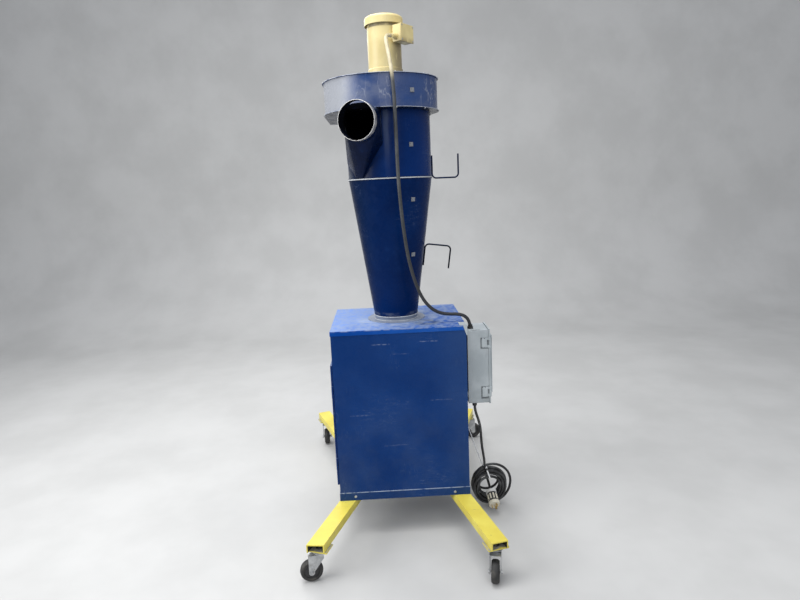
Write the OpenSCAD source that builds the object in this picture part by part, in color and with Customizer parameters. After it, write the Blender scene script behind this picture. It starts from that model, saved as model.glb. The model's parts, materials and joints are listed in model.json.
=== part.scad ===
// Portable cyclone dust separator. A fan and its motor stand on a barrel and a
// long cone, the cone empties into a sheet-metal dust cabinet with a side door,
// and the cabinet rides on four splayed channel legs with swivel casters.
// Millimetres. +Z up, +X to the right of the inlet side, +Y to the rear.
// The origin is on the floor, at the middle of the machine's footprint.

/* [Cabinet] */
// Width of the dust cabinet, left to right
cab_w = 637; // [620:1:660]
// Depth of the dust cabinet, front to rear
cab_d = 524; // [510:2:540]
// Height of the cabinet's lid above the datum of the sheet-metal work
cab_top = 1059; // [1040:1:1070]
// Thickness of the cabinet's sheet
cab_t = 2; // [1.5:0.5:3]
// Depth of the lid's folded lip
lip = 22; // [15:1:28]
// Height of the base pan's upturned flange
pan_h = 42; // [30:1:50]

/* [Cyclone] */
// Outer radius of the barrel
bar_r = 201.5; // [198:0.5:204]
// Wall of the barrel and cone
bar_t = 2; // [1.5:0.5:3]
// Height of the joint between cone and barrel
ring_z = 1750; // [1740:1:1760]
// Outer radius of the cone's lower end
cone_r = 108.5; // [105:0.5:112]
// Height of the cone's lower end
cone_z = 1080; // [1078:1:1086]

/* [Fan housing] */
// Height of the lower plate's underside
fan_z = 2053; // [2050:1:2056]
// Height between the two plates
fan_h = 140; // [130:1:150]
// Thickness of both plates
plate_t = 3; // [2:0.5:4]
// How far the plates stand out past the scroll
plate_out = 7; // [5:0.5:9]
// Scroll radius at the right side
scroll_r = 237; // [235:1:239]
// Growth of the scroll for each quarter turn
scroll_g = 30; // [28:1:31]

/* [Inlet] */
// Outer radius of the inlet pipe
inlet_r = 86; // [84:0.5:88]
// Wall of the inlet pipe
inlet_t = 2.5; // [2:0.5:3]
// Angle of the pipe to the left of straight ahead
inlet_a = 20.6; // [18:0.2:23]

/* [Legs] */
// Width of the leg channel
leg_w = 76; // [72:1:80]
// Depth of the leg channel
leg_h = 38; // [36:1:40]
// Thickness of the channel's web and flanges
leg_t = 5; // [4:0.5:6]

/* [Casters] */
// Wheel radius
wheel_r = 51; // [48:0.5:54]
// Wheel width
wheel_w = 34; // [28:1:36]
// Distance from swivel axis to axle
lead = 42; // [32:1:44]
// Trailing direction of the front left caster
yaw_fl = 190; // [0:1:359]
// Trailing direction of the front right caster
yaw_fr = 257; // [0:1:359]
// Trailing direction of the rear left caster
yaw_rl = 275; // [0:1:359]
// Trailing direction of the rear right caster
yaw_rr = 5; // [0:1:359]

/* [Motor] */
// Radius of the motor frame
motor_r = 79; // [76:0.5:81]
// Height of the motor frame above the fan
motor_h = 262; // [255:1:268]
// Radius of the fan cowl
cowl_r = 90; // [86:0.5:94]

/* [Cords] */
// Diameter of the supply cord
cord_d = 13; // [12:0.5:14]
// Diameter of the motor lead
lead_d = 16; // [14:0.5:18]

/* [Hidden] */
$fn = 64;
// the floor stands this far above the datum of the sheet-metal work
floor_z = 14;
axle_z = floor_z + wheel_r;
// the cyclone's axis in the frame of the footprint
ax = 1.3;
ay = -121.8;
cab_z0 = 205;
cab_yf = -262;
cab_yb = cab_yf + cab_d;
cab_xr = 320;
cab_xl = cab_xr - cab_w;
fan_top_z = fan_z + plate_t + fan_h;
duct_y = 388;
duct_x1 = -115;
// legs: apex and tip of each, on the centre line
apex_l = [-177, 50];
apex_r = [206, 50];
tip_fl = [-406, -625];
tip_fr = [387, -679];
tip_rl = [-510, 958];
tip_rr = [470, 884];
pad_z = 161;
swivel_in = 45;
plate_z = pad_z - 3;
// cabinet door on the left side
door_z0 = 288;
door_z1 = 893;
door_y0 = -255;
door_y1 = 256;
door_x = cab_xl - 10.5;
hinge_x = cab_xl - 6;
hinge_y = -261.5;
hinge_z = [400, 765];
// electrical enclosure on the right side
enc_x0 = 331;
enc_x1 = 431;
enc_y0 = -216;
enc_y1 = -60;
enc_z0 = 658;
enc_z1 = 1021;
enc_hinge = [438.5, -221.5];
// junction box on the motor
jb_a = 52;
// inlet mouth
mouth = [-141.3, -325, 1996];
// upright coil of supply cord
coil_c = [466, -45, 136];
coil_ro = 116;
coil_ri = 50;
coil_w = 40;
coil_yaw = 8;

blue = "#1b3f8f";
yellow = "#f0dc3c";
zinc = "#b9bcbc";
cream = "#e8d8a0";
grey = "#b4bcc0";
black = "#1c1c1e";

// ---------- helpers ----------
function unit(v) = v / norm(v);
function cross2(a, b) = a[0] * b[1] - a[1] * b[0];
function ang(v) = atan2(v[1], v[0]);
function perp(t) = unit(cross(t, abs(t[2]) < 0.9 ? [0, 0, 1] : [0, 1, 0]));
// smooth curve through a list of points
function spline_at(p, i, u) =
  let (a = p[max(i - 1, 0)], b = p[i], c = p[i + 1], d = p[min(i + 2, len(p) - 1)])
  0.5 * (2 * b + u * (c - a) + u * u * (2 * a - 5 * b + 4 * c - d) + u * u * u * (3 * b - a - 3 * c + d));
function route(p, k) = concat([for (i = [0 : len(p) - 2]) for (j = [0 : k - 1]) spline_at(p, i, j / k)], [p[len(p) - 1]]);
function tangents(p) = [for (i = [0 : len(p) - 1]) unit(p[min(i + 1, len(p) - 1)] - p[max(i - 1, 0)])];
function carry(t, n, i) = i >= len(t) ? [] : let (m = unit(n - t[i] * (n * t[i]))) concat([m], carry(t, m, i + 1));

module in_frame() translate([ax, ay, -floor_z]) children();

// tube of radius r swept along points p
module sweep(p, r, sides) {
  t = tangents(p);
  n = carry(t, perp(t[0]), 0);
  pts = [for (i = [0 : len(p) - 1]) for (s = [0 : sides - 1])
    let (a = 360 * s / sides) p[i] + r * (cos(a) * n[i] + sin(a) * cross(t[i], n[i]))];
  m = len(p);
  faces = concat(
    [[for (s = [0 : sides - 1]) s]],
    [[for (s = [sides - 1 : -1 : 0]) (m - 1) * sides + s]],
    [for (i = [0 : m - 2]) for (s = [0 : sides - 1])
      [i * sides + s, (i + 1) * sides + s, (i + 1) * sides + (s + 1) % sides, i * sides + (s + 1) % sides]]);
  polyhedron(pts, faces, convexity = 6);
}

// a bar along the line from a to b
module rod_between(a, b, r) {
  d = b - a;
  translate(a) rotate([0, acos(d[2] / norm(d)), atan2(d[1], d[0])]) cylinder(h = norm(d), r = r);
}

// ---------- base ----------
// inverted channel from apex to tip, mitred against its partner at the apex
module leg(apex, tip, other, cut = 0) {
  u = unit(tip - apex);
  v = unit(other - apex);
  b = unit(u + v);
  keep = cross2(b, u) > 0 ? 1 : -1;
  len = norm(tip - apex);
  difference() {
    union() {
      intersection() {
        translate([apex[0], apex[1], 0]) rotate([0, 0, ang(u)]) difference() {
          translate([-80, -leg_w / 2, cab_z0 - leg_h]) cube([len + 120, leg_w, leg_h]);
          translate([-81, -leg_w / 2 + leg_t, cab_z0 - leg_h - 1]) cube([len + 122, leg_w - 2 * leg_t, leg_h - leg_t + 1]);
        }
        translate([apex[0], apex[1], 0]) rotate([0, 0, ang(b)]) translate([-400, keep > 0 ? 0 : -1500, 100]) cube([1500, 1500, 200]);
        // the end's cut, turned by cut from square to the leg
        translate([tip[0], tip[1], 0]) rotate([0, 0, ang(u) + cut]) translate([-1500, -500, 100]) cube([1500, 1000, 200]);
      }
      // mounting pad under the tip
      translate([tip[0], tip[1], 0]) rotate([0, 0, ang(u)]) translate([-swivel_in - 35, -leg_w / 2 - 10, pad_z]) cube([70, leg_w + 20, cab_z0 - leg_h - pad_z + 0.01]);
    }
    // window in the pad over the king pin
    translate([tip[0], tip[1], 0]) rotate([0, 0, ang(u)]) translate([-swivel_in, 0, pad_z - 1]) cylinder(h = 9, r = 16);
  }
}
module leg_front_left() color(yellow) in_frame() leg(apex_l, tip_fl, tip_rl, 12);
module leg_front_right() color(yellow) in_frame() leg(apex_r, tip_fr, tip_rr);
module leg_rear_left() color(yellow) in_frame() leg(apex_l, tip_rl, tip_fl);
module leg_rear_right() color(yellow) in_frame() leg(apex_r, tip_rr, tip_fr);

function swivel_at(apex, tip) = tip - swivel_in * unit(tip - apex);
module at_caster(apex, tip) translate([swivel_at(apex, tip)[0], swivel_at(apex, tip)[1], 0]) rotate([0, 0, ang(tip - apex)]) children();

// caster top plate, raceway boss and king pin
module caster_plate() {
  translate([-32, -46, plate_z]) cube([64, 92, 3]);
  translate([0, 0, plate_z - 5]) cylinder(h = 5.01, r = 27);
  translate([0, 0, plate_z - 19]) cylinder(h = 26, r = 6);
  translate([0, 0, plate_z + 2.9]) cylinder(h = 3, r = 12);
  translate([0, 0, plate_z - 22]) cylinder(h = 4, r = 9.5);
}
module caster_plates() color(zinc) in_frame() {
  at_caster(apex_l, tip_fl) caster_plate();
  at_caster(apex_r, tip_fr) caster_plate();
  at_caster(apex_l, tip_rl) caster_plate();
  at_caster(apex_r, tip_rr) caster_plate();
}

// swivel fork; local +X is the trailing direction
module fork() {
  inner = wheel_w / 2 + 5;
  difference() {
    union() {
      translate([0, 0, plate_z - 9.3]) cylinder(h = 4, r = 31);
      translate([0, 0, plate_z - 12.6]) cylinder(h = 3.4, r = 26);
      translate([-14, -inner - 3, plate_z - 15.6]) cube([lead + 26, 2 * inner + 6, 3.1]);
      translate([0, 0, plate_z - 15.6]) cylinder(h = 3.1, r = 24);
    }
    translate([0, 0, plate_z - 20]) cylinder(h = 20, r = 6.08);
  }
  for (s = [-1, 1]) translate([0, s > 0 ? inner + 3 : -inner, 0]) rotate([90, 0, 0]) linear_extrude(3)
    polygon(concat([[-14, plate_z - 12.6], [lead + 12, plate_z - 12.6], [lead + 12, plate_z - 40]],
      [for (a = [0 : -20 : -200]) [lead + 13 * cos(a), axle_z + 13 * sin(a)]], [[-14, plate_z - 30]]));
  // axle bolt with head and nut
  translate([lead, 0, axle_z]) rotate([90, 0, 0]) {
    cylinder(h = 2 * inner + 8, r = 5, center = true);
    for (z = [-inner - 8.5, inner + 3]) translate([0, 0, z]) cylinder(h = 5.5, r = 8.6, $fn = 6);
  }
}
// rubber wheel on a plastic core, turning on the axle bolt
module wheel() translate([lead, 0, axle_z]) rotate([90, 0, 0]) rotate_extrude()
  polygon([[5.08, -wheel_w / 2 - 1.5], [14, -wheel_w / 2 - 1.5], [14, -wheel_w / 2 + 6], [31, -wheel_w / 2 + 6], [34, -wheel_w / 2 + 1], [wheel_r - 7, -wheel_w / 2], [wheel_r - 1.5, -wheel_w / 2 + 7], [wheel_r, 0],
    [wheel_r - 1.5, wheel_w / 2 - 7], [wheel_r - 7, wheel_w / 2], [34, wheel_w / 2 - 1], [31, wheel_w / 2 - 6], [14, wheel_w / 2 - 6], [14, wheel_w / 2 + 1.5], [5.08, wheel_w / 2 + 1.5]]);

module at_swivel(apex, tip, yaw) in_frame() translate([swivel_at(apex, tip)[0], swivel_at(apex, tip)[1], 0]) rotate([0, 0, yaw]) children();
module fork_fl() color(zinc) at_swivel(apex_l, tip_fl, yaw_fl) fork();
module fork_fr() color(zinc) at_swivel(apex_r, tip_fr, yaw_fr) fork();
module fork_rl() color(zinc) at_swivel(apex_l, tip_rl, yaw_rl) fork();
module fork_rr() color(zinc) at_swivel(apex_r, tip_rr, yaw_rr) fork();
module wheel_fl() color(black) at_swivel(apex_l, tip_fl, yaw_fl) wheel();
module wheel_fr() color(black) at_swivel(apex_r, tip_fr, yaw_fr) wheel();
module wheel_rl() color(black) at_swivel(apex_l, tip_rl, yaw_rl) wheel();
module wheel_rr() color(black) at_swivel(apex_r, tip_rr, yaw_rr) wheel();

// ---------- cabinet ----------
module base_pan() color(blue) in_frame() difference() {
  translate([cab_xl - 2.5, cab_yf - 2.5, cab_z0]) cube([cab_w + 5, cab_d + 5, pan_h]);
  translate([cab_xl, cab_yf, cab_z0 + 2.5]) cube([cab_w, cab_d, pan_h]);
}
wall_z0 = cab_z0 + 2.5;
wall_h = cab_top - cab_t - wall_z0;
module front_panel() color(blue) in_frame() translate([cab_xl, cab_yf, wall_z0]) cube([cab_w, cab_t, wall_h]);
module back_panel() color(blue) in_frame() translate([cab_xl, cab_yb - cab_t, wall_z0]) cube([cab_w, cab_t, wall_h]);
module right_panel() color(blue) in_frame() translate([cab_xr - cab_t, cab_yf + cab_t, wall_z0]) cube([cab_t, cab_d - 2 * cab_t, wall_h]);
module left_panel() color(blue) in_frame() difference() {
  translate([cab_xl, cab_yf + cab_t, wall_z0]) cube([cab_t, cab_d - 2 * cab_t, wall_h]);
  translate([cab_xl - 1, door_y0 + 28, door_z0 + 30]) cube([cab_t + 2, door_y1 - door_y0 - 56, door_z1 - door_z0 - 60]);
}
module cabinet_lid() color(blue) in_frame() difference() {
  translate([cab_xl - 2.5, cab_yf - 2.5, cab_top - lip]) cube([cab_w + 5, cab_d + 5, lip]);
  translate([cab_xl, cab_yf, cab_top - lip - 1]) cube([cab_w, cab_d, lip + 1 - cab_t]);
  translate([0, 0, cab_top - 5]) cylinder(h = 10, r = 104);
}

// side door: a shallow pan hung on two knuckle hinges at its front edge
module dust_door() color(blue) in_frame() difference() {
  union() {
    difference() {
      translate([door_x, door_y0, door_z0]) cube([9, door_y1 - door_y0, door_z1 - door_z0]);
      translate([door_x + 2, door_y0 + 2, door_z0 + 2]) cube([9, door_y1 - door_y0 - 4, door_z1 - door_z0 - 4]);
    }
    for (z = hinge_z) {
      translate([hinge_x, hinge_y, z - 14]) cylinder(h = 28, r = 4.5);
      translate([hinge_x - 4.5, hinge_y, z - 14]) cube([3, 12, 28]);
    }
  }
  for (z = hinge_z) translate([hinge_x, hinge_y, z - 20]) cylinder(h = 40, r = 3.05);
}
module door_hinges() color(blue) in_frame() for (z = hinge_z) {
  translate([hinge_x, hinge_y, z - 30]) cylinder(h = 60, r = 3);
  for (s = [-1, 1]) {
    translate([hinge_x, hinge_y, z + (s > 0 ? 14.3 : -29.3)]) cylinder(h = 15, r = 4.5);
    translate([hinge_x, hinge_y - 1.5, z + (s > 0 ? 14.3 : -29.3)]) cube([6, 3, 15]);
  }
}
module door_latches() color(zinc) in_frame() for (z = [395, 785]) {
  translate([door_x - 3, door_y1 - 46, z - 22]) cube([3, 34, 44]);
  translate([door_x - 9, door_y1 - 40, z - 8]) cube([6.01, 50, 16]);
}

// ---------- cyclone ----------
module cone_collar() color(grey) in_frame() rotate_extrude() polygon([
  [104, cab_top], [144, cab_top], [144, cab_top + 2.5], [cone_r - 1, cab_top + 2.5], [cone_r - 1, cone_z - 6],
  [cone_r + 2.5, cone_z - 4], [cone_r + 2.5, cone_z], [cone_r - 2, cone_z], [104, cab_top + 8]]);
module cone() color(blue) in_frame() rotate_extrude() polygon([
  [cone_r - bar_t, cone_z], [cone_r, cone_z], [bar_r, ring_z - 2.5], [bar_r - bar_t, ring_z - 2.5]]);
module joint_ring() color(grey) in_frame() rotate_extrude() polygon([
  [bar_r - bar_t, ring_z - 2.5], [bar_r + 3.5, ring_z - 2.5], [bar_r + 3.5, ring_z + 2.5], [bar_r - bar_t, ring_z + 2.5]]);
module tube(r, t, z0, z1) translate([0, 0, z0]) difference() {
  cylinder(h = z1 - z0, r = r);
  translate([0, 0, -1]) cylinder(h = z1 - z0 + 2, r = r - t);
}
module at_mouth() translate(mouth) rotate([0, 0, -inlet_a]) rotate([90, 0, 0]) children();
// the air way from the round pipe to the barrel, grown by g: first down under
// the fan's lower plate, then widening down the barrel's side
module throat(g) at_mouth() intersection() {
  translate([0, 0, -64]) cylinder(h = 2, r = inlet_r - inlet_t + g, $fn = 32);
  translate([-150, -150, -70]) cube([300, 150 + fan_z - 3.5 - mouth[2] + g, 20]);
}
module transition_body(g) {
  hull() {
    at_mouth() translate([0, 0, -30.5 + g]) cylinder(h = 2, r = inlet_r - inlet_t + g, $fn = 32);
    throat(g);
  }
  hull() {
    throat(g);
    translate([-200 - g * 0.4, -50, 1830 - g]) cube([2, 40, fan_z - 3.5 - 1830 + 2 * g]);
    translate([-157 - g, -134 - g, 1758 - g]) cube([3, 14, fan_z - 3.5 - 1758 + 2 * g]);
    translate([-131, -158 - g, 1758 - g]) cube([3, 14, fan_z - 3.5 - 1758 + 2 * g]);
    translate([-34, -190 - g, 1900 - g]) cube([2 + g, 20, fan_z - 3.5 - 1900 + 2 * g]);
  }
}
module barrel() color(blue) in_frame() difference() {
  tube(bar_r, bar_t, ring_z + 2.5, fan_z);
  transition_body(0);
}
module inlet_pipe() color(grey) in_frame() at_mouth() translate([0, 0, -28]) rotate_extrude() polygon([
  [inlet_r - inlet_t, 0], [inlet_r, 0], [inlet_r, 27.2], [inlet_r - 0.8, 28], [inlet_r - inlet_t, 28]]);
module inlet_transition() color(blue) in_frame() difference() {
  transition_body(inlet_t);
  transition_body(0);
  translate([0, 0, 1700]) cylinder(h = 400, r = bar_r + 0.5);
  at_mouth() translate([0, 0, -28]) cylinder(h = 60, r = inlet_r + 4);
  at_mouth() translate([0, 0, -40]) cylinder(h = 60, r = inlet_r - inlet_t);
}

// ---------- fan ----------
// radius of the scroll wall at angle a, counted from the rear round by the right to the left
function scroll_at(a) = scroll_r - scroll_g + scroll_g * a / 90;
// outline grown by g: from the cut-off at the rear, round right, front and left, then the duct
function outline(g, a0, n) = concat(
  [for (i = [0 : n]) let (a = a0 + (270 - a0) * i / n, r = scroll_at(a) + g) [r * sin(a), r * cos(a)]],
  [[-scroll_at(270) - g, duct_y], [duct_x1 + g, duct_y]]);
module fan_floor() color(blue) in_frame() difference() {
  translate([0, 0, fan_z]) linear_extrude(plate_t) polygon(outline(plate_out, -32, 60));
  translate([0, 0, fan_z - 1]) cylinder(h = 6, r = 88);
}
module fan_scroll() color(blue) in_frame() translate([0, 0, fan_z + plate_t]) linear_extrude(fan_h) difference() {
  polygon(outline(0, -36, 60));
  polygon(concat([for (i = [0 : 60]) let (a = -36 + 306 * i / 60, r = scroll_at(a) - 2) [r * sin(a), r * cos(a)]],
    [[-scroll_at(270) + 2, duct_y + 1], [duct_x1 - 2, duct_y + 1], [duct_x1 - 2, 155.5]]));
}
module fan_cover() color(blue) in_frame() translate([0, 0, fan_top_z]) linear_extrude(plate_t) polygon(outline(plate_out, -32, 60));
motor_z = fan_top_z + plate_t;
module motor_frame() color(cream) in_frame() translate([0, 0, motor_z]) rotate_extrude() polygon([
  [0, 0], [motor_r + 3.5, 0], [motor_r + 3.5, 52], [motor_r, 56], [motor_r, motor_h - 14], [motor_r - 9, motor_h - 2], [motor_r - 9, motor_h], [0, motor_h]]);
module motor_cowl() color(cream) in_frame() translate([0, 0, motor_z + motor_h - 16]) rotate_extrude() polygon(concat(
  [[cowl_r - 2, 0], [cowl_r, 0], [cowl_r, 27]],
  [for (a = [0 : 10 : 90]) [cowl_r - 24 + 24 * cos(a), 27 + 16 * sin(a)]],
  [[0, 45], [0, 42]],
  [for (a = [90 : -15 : 0]) [cowl_r - 26 + 24 * cos(a), 25 + 16 * sin(a)]]));
module at_box() in_frame() translate([0, 0, 0]) rotate([0, 0, jb_a - 90]) children();
module junction_box() color(cream) at_box() {
  difference() {
    translate([motor_r - 8, -32, 2362]) cube([15, 64, 62]);
    translate([0, 0, 2300]) cylinder(h = 200, r = motor_r + 0.05);
  }
  translate([motor_r + 6, -47, 2357]) cube([45, 94, 73]);
  translate([motor_r + 51, -49, 2355]) cube([4, 98, 77]);
}
module motor_gland() color(cream) at_box() translate([motor_r + 20, -47, 2378]) rotate([90, 0, 0]) {
  cylinder(h = 14, r = 13);
  translate([0, 0, 13.9]) cylinder(h = 12, r = 10);
}

// ---------- hooks and tie mounts ----------
// U of 8 mm rod: 128 mm between the legs, bend radius 20
module hook() {
  w = 128;
  rb = 20;
  translate([0, 0, rb]) cylinder(h = 88, r = 4);
  translate([w, 0, rb]) cylinder(h = 92, r = 4);
  translate([rb, 0, 0]) rotate([0, 90, 0]) cylinder(h = w - 2 * rb, r = 4);
  translate([rb, 0, rb]) rotate([-90, 0, 0]) rotate_extrude(angle = 90, start = 90) translate([rb, 0]) circle(r = 4);
  translate([w - rb, 0, rb]) rotate([-90, 0, 0]) rotate_extrude(angle = 90, start = 0) translate([rb, 0]) circle(r = 4);
}
module hook_upper() color(blue) in_frame() translate([bar_r + 4, 0, 1744]) hook();
cone_slope = atan((bar_r - cone_r) / (ring_z - cone_z));
function cone_at(z) = cone_r + (bar_r - cone_r) * (z - cone_z) / (ring_z - 2.5 - cone_z);
module hook_lower() color(blue) in_frame() translate([cone_at(1425) + 4 / cos(cone_slope), 0, 1425]) rotate([0, cone_slope, 0]) mirror([0, 0, 1]) hook();
// adhesive cable-tie mounts: square pads with a raised bridge
module tie_mount() {
  translate([-9.5, 0, -9.5]) cube([19, 4, 19]);
  translate([-4, -3, -8]) cube([8, 3.01, 16]);
}
module tie_mounts() color(grey) in_frame() {
  rotate([0, 0, 24.5]) translate([0, -scroll_at(155.5) - 4.6, 2124]) tie_mount();
  rotate([0, 0, 29]) translate([0, -bar_r - 4, 1897]) tie_mount();
  rotate([0, 0, 31.5]) translate([0, -cone_at(1649) - 4.15, 1649]) rotate([cone_slope, 0, 0]) tie_mount();
  rotate([0, 0, 37]) translate([0, -cone_at(1388) - 4.15, 1388]) rotate([cone_slope, 0, 0]) tie_mount();
}

// ---------- electrical enclosure ----------
module enclosure_box() color(grey) in_frame() {
  difference() {
    translate([enc_x0, enc_y0, enc_z0]) cube([enc_x1 - enc_x0, enc_y1 - enc_y0, enc_z1 - enc_z0]);
    translate([enc_x0 + 2, enc_y0 + 2, enc_z0 + 2]) cube([enc_x1 - enc_x0, enc_y1 - enc_y0 - 4, enc_z1 - enc_z0 - 4]);
    translate([363, -190, enc_z0 - 1]) cylinder(h = 5, r = 8);
    translate([352, -168, enc_z1 - 4]) cylinder(h = 6, r = 8);
  }
  enclosure_hinge_side();
}
enc_hz = [715, 960];
module enclosure_door() color(grey) in_frame() difference() {
  union() {
    difference() {
      translate([enc_x1 + 1, enc_y0 - 3, enc_z0 - 4]) cube([7, enc_y1 - enc_y0 + 6, enc_z1 - enc_z0 + 8]);
      translate([enc_x1 - 1, enc_y0 - 1, enc_z0 - 2]) cube([7, enc_y1 - enc_y0 + 2, enc_z1 - enc_z0 + 4]);
    }
    // raised middle field of the door
    translate([enc_x1 + 8, enc_y0 + 14, enc_z0 + 48]) cube([11, enc_y1 - enc_y0 - 30, enc_z1 - enc_z0 - 78]);
    for (z = enc_hz) {
      translate([enc_hinge[0], enc_hinge[1], z - 12]) cylinder(h = 24, r = 4);
      translate([enc_hinge[0] - 3, enc_hinge[1], z - 12]) cube([3, 6, 24]);
    }
  }
  translate([enc_x1 + 6, enc_y0 + 16, enc_z0 + 50]) cube([11, enc_y1 - enc_y0 - 34, enc_z1 - enc_z0 - 82]);
  for (z = enc_hz) translate([enc_hinge[0], enc_hinge[1], z - 20]) cylinder(h = 40, r = 2.55);
  // relief round the box's own knuckles
  for (z = enc_hz, s = [12.05, -24.65]) translate([enc_hinge[0], enc_hinge[1], z + s]) cylinder(h = 12.6, r = 4.8);
}
module enclosure_hinge_side() for (z = enc_hz) {
  translate([enc_hinge[0], enc_hinge[1], z - 24]) cylinder(h = 48, r = 2.5);
  for (s = [-1, 1]) {
    translate([enc_hinge[0], enc_hinge[1], z + (s > 0 ? 12.3 : -24.3)]) cylinder(h = 12, r = 4);
    translate([enc_x1 - 30, enc_y0 - 2.5, z + (s > 0 ? 12.3 : -24.3)]) cube([30, 2.5, 12]);
    translate([enc_x1 - 2, enc_hinge[1] - 1.5, z + (s > 0 ? 12.3 : -24.3)]) cube([9.5, 3, 12]);
    translate([enc_x1 - 2, enc_hinge[1] - 1.5, z + (s > 0 ? 12.3 : -24.3)]) cube([2, 6, 12]);
  }
}
// two straps behind the box, the upper one with an ear folded in front of the lid
module enclosure_bracket() color(grey) in_frame() {
  translate([cab_xr + 2.5, enc_y0 + 6, cab_top - 46]) cube([enc_x0 - cab_xr - 2.5, enc_y1 - enc_y0 - 12, 26]);
  translate([cab_xr, enc_y0 + 6, enc_z0 + 30]) cube([enc_x0 - cab_xr, enc_y1 - enc_y0 - 12, 26]);
  translate([cab_xr - 30, cab_yf + 6, cab_top]) cube([34.5, 60, 2.5]);
  translate([cab_xr + 2.5, cab_yf - 4, cab_top - 46]) cube([2, 66, 48.5]);
  translate([0, cab_yf - 2.5, 0]) rotate([90, 0, 0]) linear_extrude(2) polygon([[cab_xr - 16, cab_top + 2.5], [cab_xr + 4.5, cab_top + 2.5], [cab_xr + 4.5, cab_top - 46], [cab_xr + 0.5, cab_top - 46]]);
}
module enclosure_glands() color(black) in_frame() {
  translate([352, -168, enc_z1]) {
    cylinder(h = 10, r = 14, $fn = 6);
    translate([0, 0, 9.9]) cylinder(h = 10, r = 11);
  }
  translate([363, -190, enc_z0 - 20]) {
    translate([0, 0, 10]) cylinder(h = 10, r = 14, $fn = 6);
    cylinder(h = 10.1, r = 11);
  }
}

// ---------- cords ----------
// motor lead: out of the gland, over the rim of the fan housing, down the front
// and into the top of the enclosure
lead_pts = [[27, -118, 2378], [10, -142, 2376], [4, -176, 2352], [10, -226, 2296], [18, -270, 2230], [23, -289, 2165],
  [27, -292, 2090], [28, -288, 2000], [29, -282, 1900], [30, -275, 1800], [33, -266, 1700], [39, -257, 1600],
  [48, -247, 1500], [61, -236, 1400], [81, -224, 1305], [107, -213, 1225], [140, -203, 1163], [185, -194, 1120],
  [236, -186, 1102], [286, -180, 1099], [322, -174, 1090], [344, -170, 1068], [352, -168, 1036]];
module motor_lead() color("#8d8f8a") in_frame() sweep(route(lead_pts, 3), lead_d / 2, 10);
// supply cord: down out of the enclosure's lower gland to the coil
supply_pts = [[363, -190, 638], [365, -190, 606], [379, -185, 566], [390, -176, 522], [396, -162, 470], [402, -140, 412],
  [413, -112, 352], [422, -88, 308], [429, -68, 276], [435, -54, 242]];
// the cord's end, from inside the coil to the plug
end_pts = [[456, -63, 117], [454, -45, 128], [449, -26, 140], [438, -11, 151], [420, -6, 160], [402, -13, 163], [391, -30, 164], [388, -44, 164]];
module supply_cord() color(black) in_frame() {
  sweep(route(supply_pts, 3), cord_d / 2, 10);
  sweep(route(end_pts, 2), cord_d / 2, 10);
}
module at_coil() in_frame() translate(coil_c) rotate([0, 0, coil_yaw]) rotate([90, 0, 0]) children();
module cord_coil() color(black) at_coil() rotate_extrude() polygon([
  [coil_ri, -coil_w / 2 + 8], [coil_ri + 10, -coil_w / 2], [coil_ro - 12, -coil_w / 2], [coil_ro, -coil_w / 2 + 12],
  [coil_ro, coil_w / 2 - 12], [coil_ro - 12, coil_w / 2], [coil_ri + 10, coil_w / 2], [coil_ri, coil_w / 2 - 8]]);
// nylon cable tie round the bundle of turns, with its head and long tail
tie_a = 108;
module coil_tie() color("white") {
  at_coil() rotate([0, 0, tie_a]) translate([(coil_ro + coil_ri) / 2, 0, 0]) {
    difference() {
      cube([coil_ro - coil_ri + 4, 7, coil_w + 4], center = true);
      cube([coil_ro - coil_ri, 8, coil_w], center = true);
    }
    translate([(coil_ro - coil_ri) / 2 - 3, -5, coil_w / 2 + 1.9]) cube([8, 10, 6]);
  }
  in_frame() {
    rod_between([321, -62, 548], [410, -66, 273], 2.2);
    rod_between([410, -66, 273], [431, -69, 243], 3.5);
    translate([320, -67, 543]) cube([4, 10, 12]);
  }
}
// twist-lock plug, held out of the coil by the end of its cord
plug_at = [456.5, -75, 111.5];
plug_to = [464, -154, 65.5];
module at_plug() in_frame() translate(plug_at)
  rotate([0, acos((plug_to - plug_at)[2] / norm(plug_to - plug_at)), atan2((plug_to - plug_at)[1], (plug_to - plug_at)[0])]) children();
module plug() color("#2a2a2c") at_plug() {
  translate([0, 0, -16]) cylinder(h = 18, r = 10.5);
  translate([0, 0, 1]) cylinder(h = 15, r = 28);
  translate([0, 0, 15.9]) cylinder(h = 48, r = 24);
  translate([0, 0, 63.8]) cylinder(h = 18, r = 28.5);
  for (a = [30, 150, 270]) rotate([0, 0, a]) translate([14, -5, 81.7]) cube([1.8, 10, 17]);
  translate([-3, -1, 81.7]) cube([6, 2, 19]);
}

leg_front_left();
leg_front_right();
leg_rear_left();
leg_rear_right();
caster_plates();
fork_fl();
fork_fr();
fork_rl();
fork_rr();
wheel_fl();
wheel_fr();
wheel_rl();
wheel_rr();
base_pan();
front_panel();
back_panel();
right_panel();
left_panel();
cabinet_lid();
dust_door();
door_hinges();
door_latches();
cone_collar();
cone();
joint_ring();
barrel();
inlet_pipe();
inlet_transition();
fan_floor();
fan_scroll();
fan_cover();
motor_frame();
motor_cowl();
junction_box();
motor_gland();
hook_upper();
hook_lower();
tie_mounts();
enclosure_box();
enclosure_door();
enclosure_bracket();
enclosure_glands();
motor_lead();
supply_cord();
cord_coil();
coil_tie();
plug();
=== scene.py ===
import json
import math
import random

import bmesh
import bpy
from mathutils import Matrix, Vector


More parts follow.
